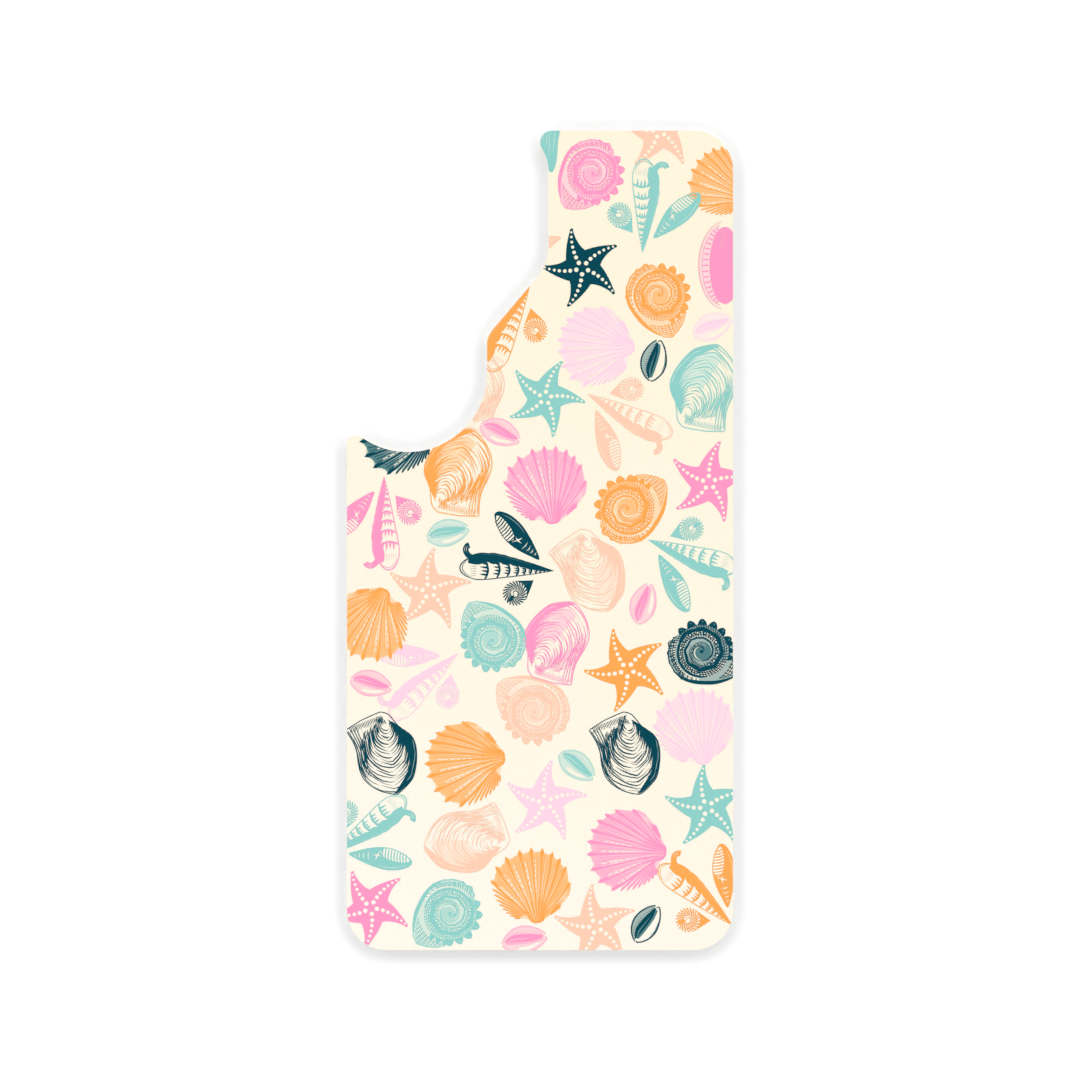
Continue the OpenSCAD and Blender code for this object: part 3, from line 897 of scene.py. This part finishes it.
def ink_material(name, rgb, mottle):
    """Satin printed ink: fine uneven density, and the tooth of the film under it."""
    material, tree, shader = tree_of(name)
    colour = linear(rgb)
    thin = mix(colour, linear(CREAM), mottle)
    dense = [c * 0.96 for c in colour]
    density = noise(tree, 2600, 4.0, 0.6)
    feed(tree, shader, {
        "Base Color": ramp(tree, density, [(0.3, dense), (0.5, colour), (0.72, thin)]),
        "Roughness": ranged(tree, noise(tree, 900, 2.0), 0.5, 0.68),
        "Normal": bump(tree, noise(tree, 7000, 2.0), 0.25, 0.004 * MM),
        "Specular IOR Level": 0.06,
    })
    return material


def ground_material():
    """The cream ground: paler towards the foot of the plate and slightly to its left, with a grain."""
    material, tree, shader = tree_of("ground_cream")
    top = max(y for _, y in OUTLINE) * MM
    side = 2.6  # what a metre to the right counts for, where foot to top is 1
    at = split(tree, position(tree))
    rise = node(tree, "ShaderNodeMapRange", {"Value": at["Y"], "From Min": -top, "From Max": top})
    slant = scaled(tree, at["X"], side, rise.outputs["Result"])
    creams = [(0.0, (253, 249, 236)), (0.25, (254, 247, 230)), (0.85, (253, 245, 221))]
    base = ramp(tree, slant, [(share, linear(rgb)) for share, rgb in creams])
    grain = ramp(tree, noise(tree, 1500, 5.0, 0.65), [(0.3, (0.972, 0.968, 0.955)), (0.6, (1.0, 1.0, 1.0))])
    both = node(tree, "ShaderNodeMix", {0: 1.0, 6: base, 7: grain}, data_type="RGBA", blend_type="MULTIPLY")
    feed(tree, shader, {
        "Base Color": both.outputs[2],
        "Roughness": ranged(tree, noise(tree, 700, 2.0), 0.5, 0.66),
        "Normal": bump(tree, noise(tree, 5200, 3.0), 0.3, 0.005 * MM),
        "Specular IOR Level": 0.12,
    })
    return material


def plastic_material():
    """Cut edge of the plate: satin plastic with fine lines left by the cutter, coloured grey instead of
    white as painted shade, so that it throws less light into the floor's shadow beside the plate.
    """
    material, tree, shader = tree_of("plate_plastic")
    lines = streaks(tree, (300, 300, 14000), 2.0)
    # painted shade: the white plastic is given these greys so that the edge bounces less light onto the
    # floor beside the plate
    painted_shade_greys = [(0.3, (0.6, 0.6, 0.585)), (0.7, (0.68, 0.68, 0.665))]
    feed(tree, shader, {
        "Base Color": ramp(tree, noise(tree, 500), painted_shade_greys),
        "Roughness": ranged(tree, lines, 0.38, 0.55),
        "Normal": bump(tree, lines, 0.5, 0.01 * MM),
        "Specular IOR Level": 0.25,
        "Subsurface Weight": 0.1,
        "Subsurface Radius": (0.8 * MM, 0.8 * MM, 0.8 * MM),
    })
    return material


def adhesive_material():
    """Pale tacky film, a little glossy, with small trapped bubbles."""
    material, tree, shader = tree_of("adhesive_film")
    bubbles = node(tree, "ShaderNodeTexVoronoi", {"Vector": position(tree), "Scale": 1100})
    pales = [(0.35, (0.70, 0.69, 0.64)), (0.65, (0.80, 0.79, 0.74))]
    feed(tree, shader, {
        "Base Color": ramp(tree, noise(tree, 400, 4.0), pales),
        "Roughness": ranged(tree, noise(tree, 900), 0.15, 0.3),
        "Normal": bump(tree, bubbles.outputs["Distance"], 0.4, 0.02 * MM),
    })
    return material


def liner_material(name):
    """Glazed release paper: warm kraft fibres under a smooth silicone coat."""
    material, tree, shader = tree_of(name)
    fibres = streaks(tree, (2600, 700, 2600), 5.0)
    krafts = [(0.3, (0.66, 0.55, 0.38)), (0.5, (0.76, 0.66, 0.49)), (0.72, (0.84, 0.76, 0.6))]
    feed(tree, shader, {
        "Base Color": ramp(tree, fibres, krafts),
        "Roughness": ranged(tree, noise(tree, 350, 2.0), 0.28, 0.45),
        "Normal": bump(tree, fibres, 0.35, 0.012 * MM),
    })
    return material


def floor_material():
    """Matt white paper, with a tone that is barely uneven."""
    material, tree, shader = tree_of("floor")
    feed(tree, shader, {
        "Base Color": ramp(tree, noise(tree, 6.0, 2.0), greys([(0.3, 0.935), (0.7, 0.945)])),
        "Roughness": 0.9,
        "Specular IOR Level": 0.0,
    })
    return material


def dress(name, material):
    """Puts one material on a whole CAD node."""
    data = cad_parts[name].data
    if not data.materials:
        data.materials.append(material)
    for i in range(len(data.materials)):
        data.materials[i] = material


dress("ground_ink", ground_material())
dress("base_plate", plastic_material())
dress("adhesive_sheet", adhesive_material())
dress("liner_left", liner_material("liner_paper_left"))
dress("liner_right", liner_material("liner_paper_right"))


# ---------------------------------------------------------------- printed pieces


def placed(name, verts, faces, material):
    """A new object of one material in the scene."""
    mesh = bpy.data.meshes.new(name)
    mesh.from_pydata(verts, [], faces)
    mesh.materials.append(material)
    mesh.update()
    made = bpy.data.objects.new(name, mesh)
    bpy.context.scene.collection.objects.link(made)
    return made


def printed_piece(name, film, material):
    """All that is printed in one ink and tone, as a piece that rides on the plate."""
    piece = placed(name, film.verts, film.faces, material)
    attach(piece, "plate")
    return piece


for (ink, tone), film in sorted(FILMS.items()):
    rgb = mix(CREAM, INKS[ink], TONES[tone])
    material = ink_material(f"ink_{ink}_{tone}", rgb, 0.002 if ink == "navy" else 0.04)
    piece = printed_piece(f"print_{ink}_{tone}", film, material)
    if tone == "full":
        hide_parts(f"ink_{ink}")


# ---------------------------------------------------------------- floor, light, camera

FLOOR_REACH = 4  # from the middle to each side, in metres
DOME_LEVEL, DOME_LEAN = 4.42, 1.25  # its strength in the middle, and what it gains towards +y
# The share of its strength at each height, from 0 at the horizon to 1 overhead: a bright ring low down.
DOME_SHARES = [(0.0, 0.28), (0.12, 0.33), (0.2, 0.95), (0.42, 0.95), (0.52, 0.2), (0.7, 0.08), (1.0, 0.03)]
LENS_MM, SENSOR_MM = 120, 36
CAMERA_AT = (0.0, 0.00007, 0.682)  # over the middle of the plate

corners = [(-1, -1), (1, -1), (1, 1), (-1, 1)]
floor_corners = [(x * FLOOR_REACH, y * FLOOR_REACH, 0) for x, y in corners]
floor = placed("floor", floor_corners, [(0, 1, 2, 3)], floor_material())


def studio_world():
    """A soft white dome, stronger on the side of the plate's top edge."""
    world = bpy.data.worlds.new("studio")
    world.use_nodes = True
    tree = world.node_tree
    towards = split(tree, node(tree, "ShaderNodeTexCoord", {}).outputs["Generated"])
    feed(tree, tree.nodes["Background"], {
        "Color": ramp(tree, towards["Z"], greys(DOME_SHARES)),
        "Strength": scaled(tree, towards["Y"], DOME_LEAN, DOME_LEVEL),
    })
    bpy.context.scene.world = world


def studio_camera():
    """A long lens that looks straight down."""
    lens = bpy.data.cameras.new("camera")
    lens.lens = LENS_MM
    lens.sensor_width = SENSOR_MM
    camera = bpy.data.objects.new("camera", lens)
    camera.location = CAMERA_AT
    bpy.context.scene.collection.objects.link(camera)
    bpy.context.scene.camera = camera


studio_world()
studio_camera()
bpy.context.scene.view_settings.view_transform = "Standard"
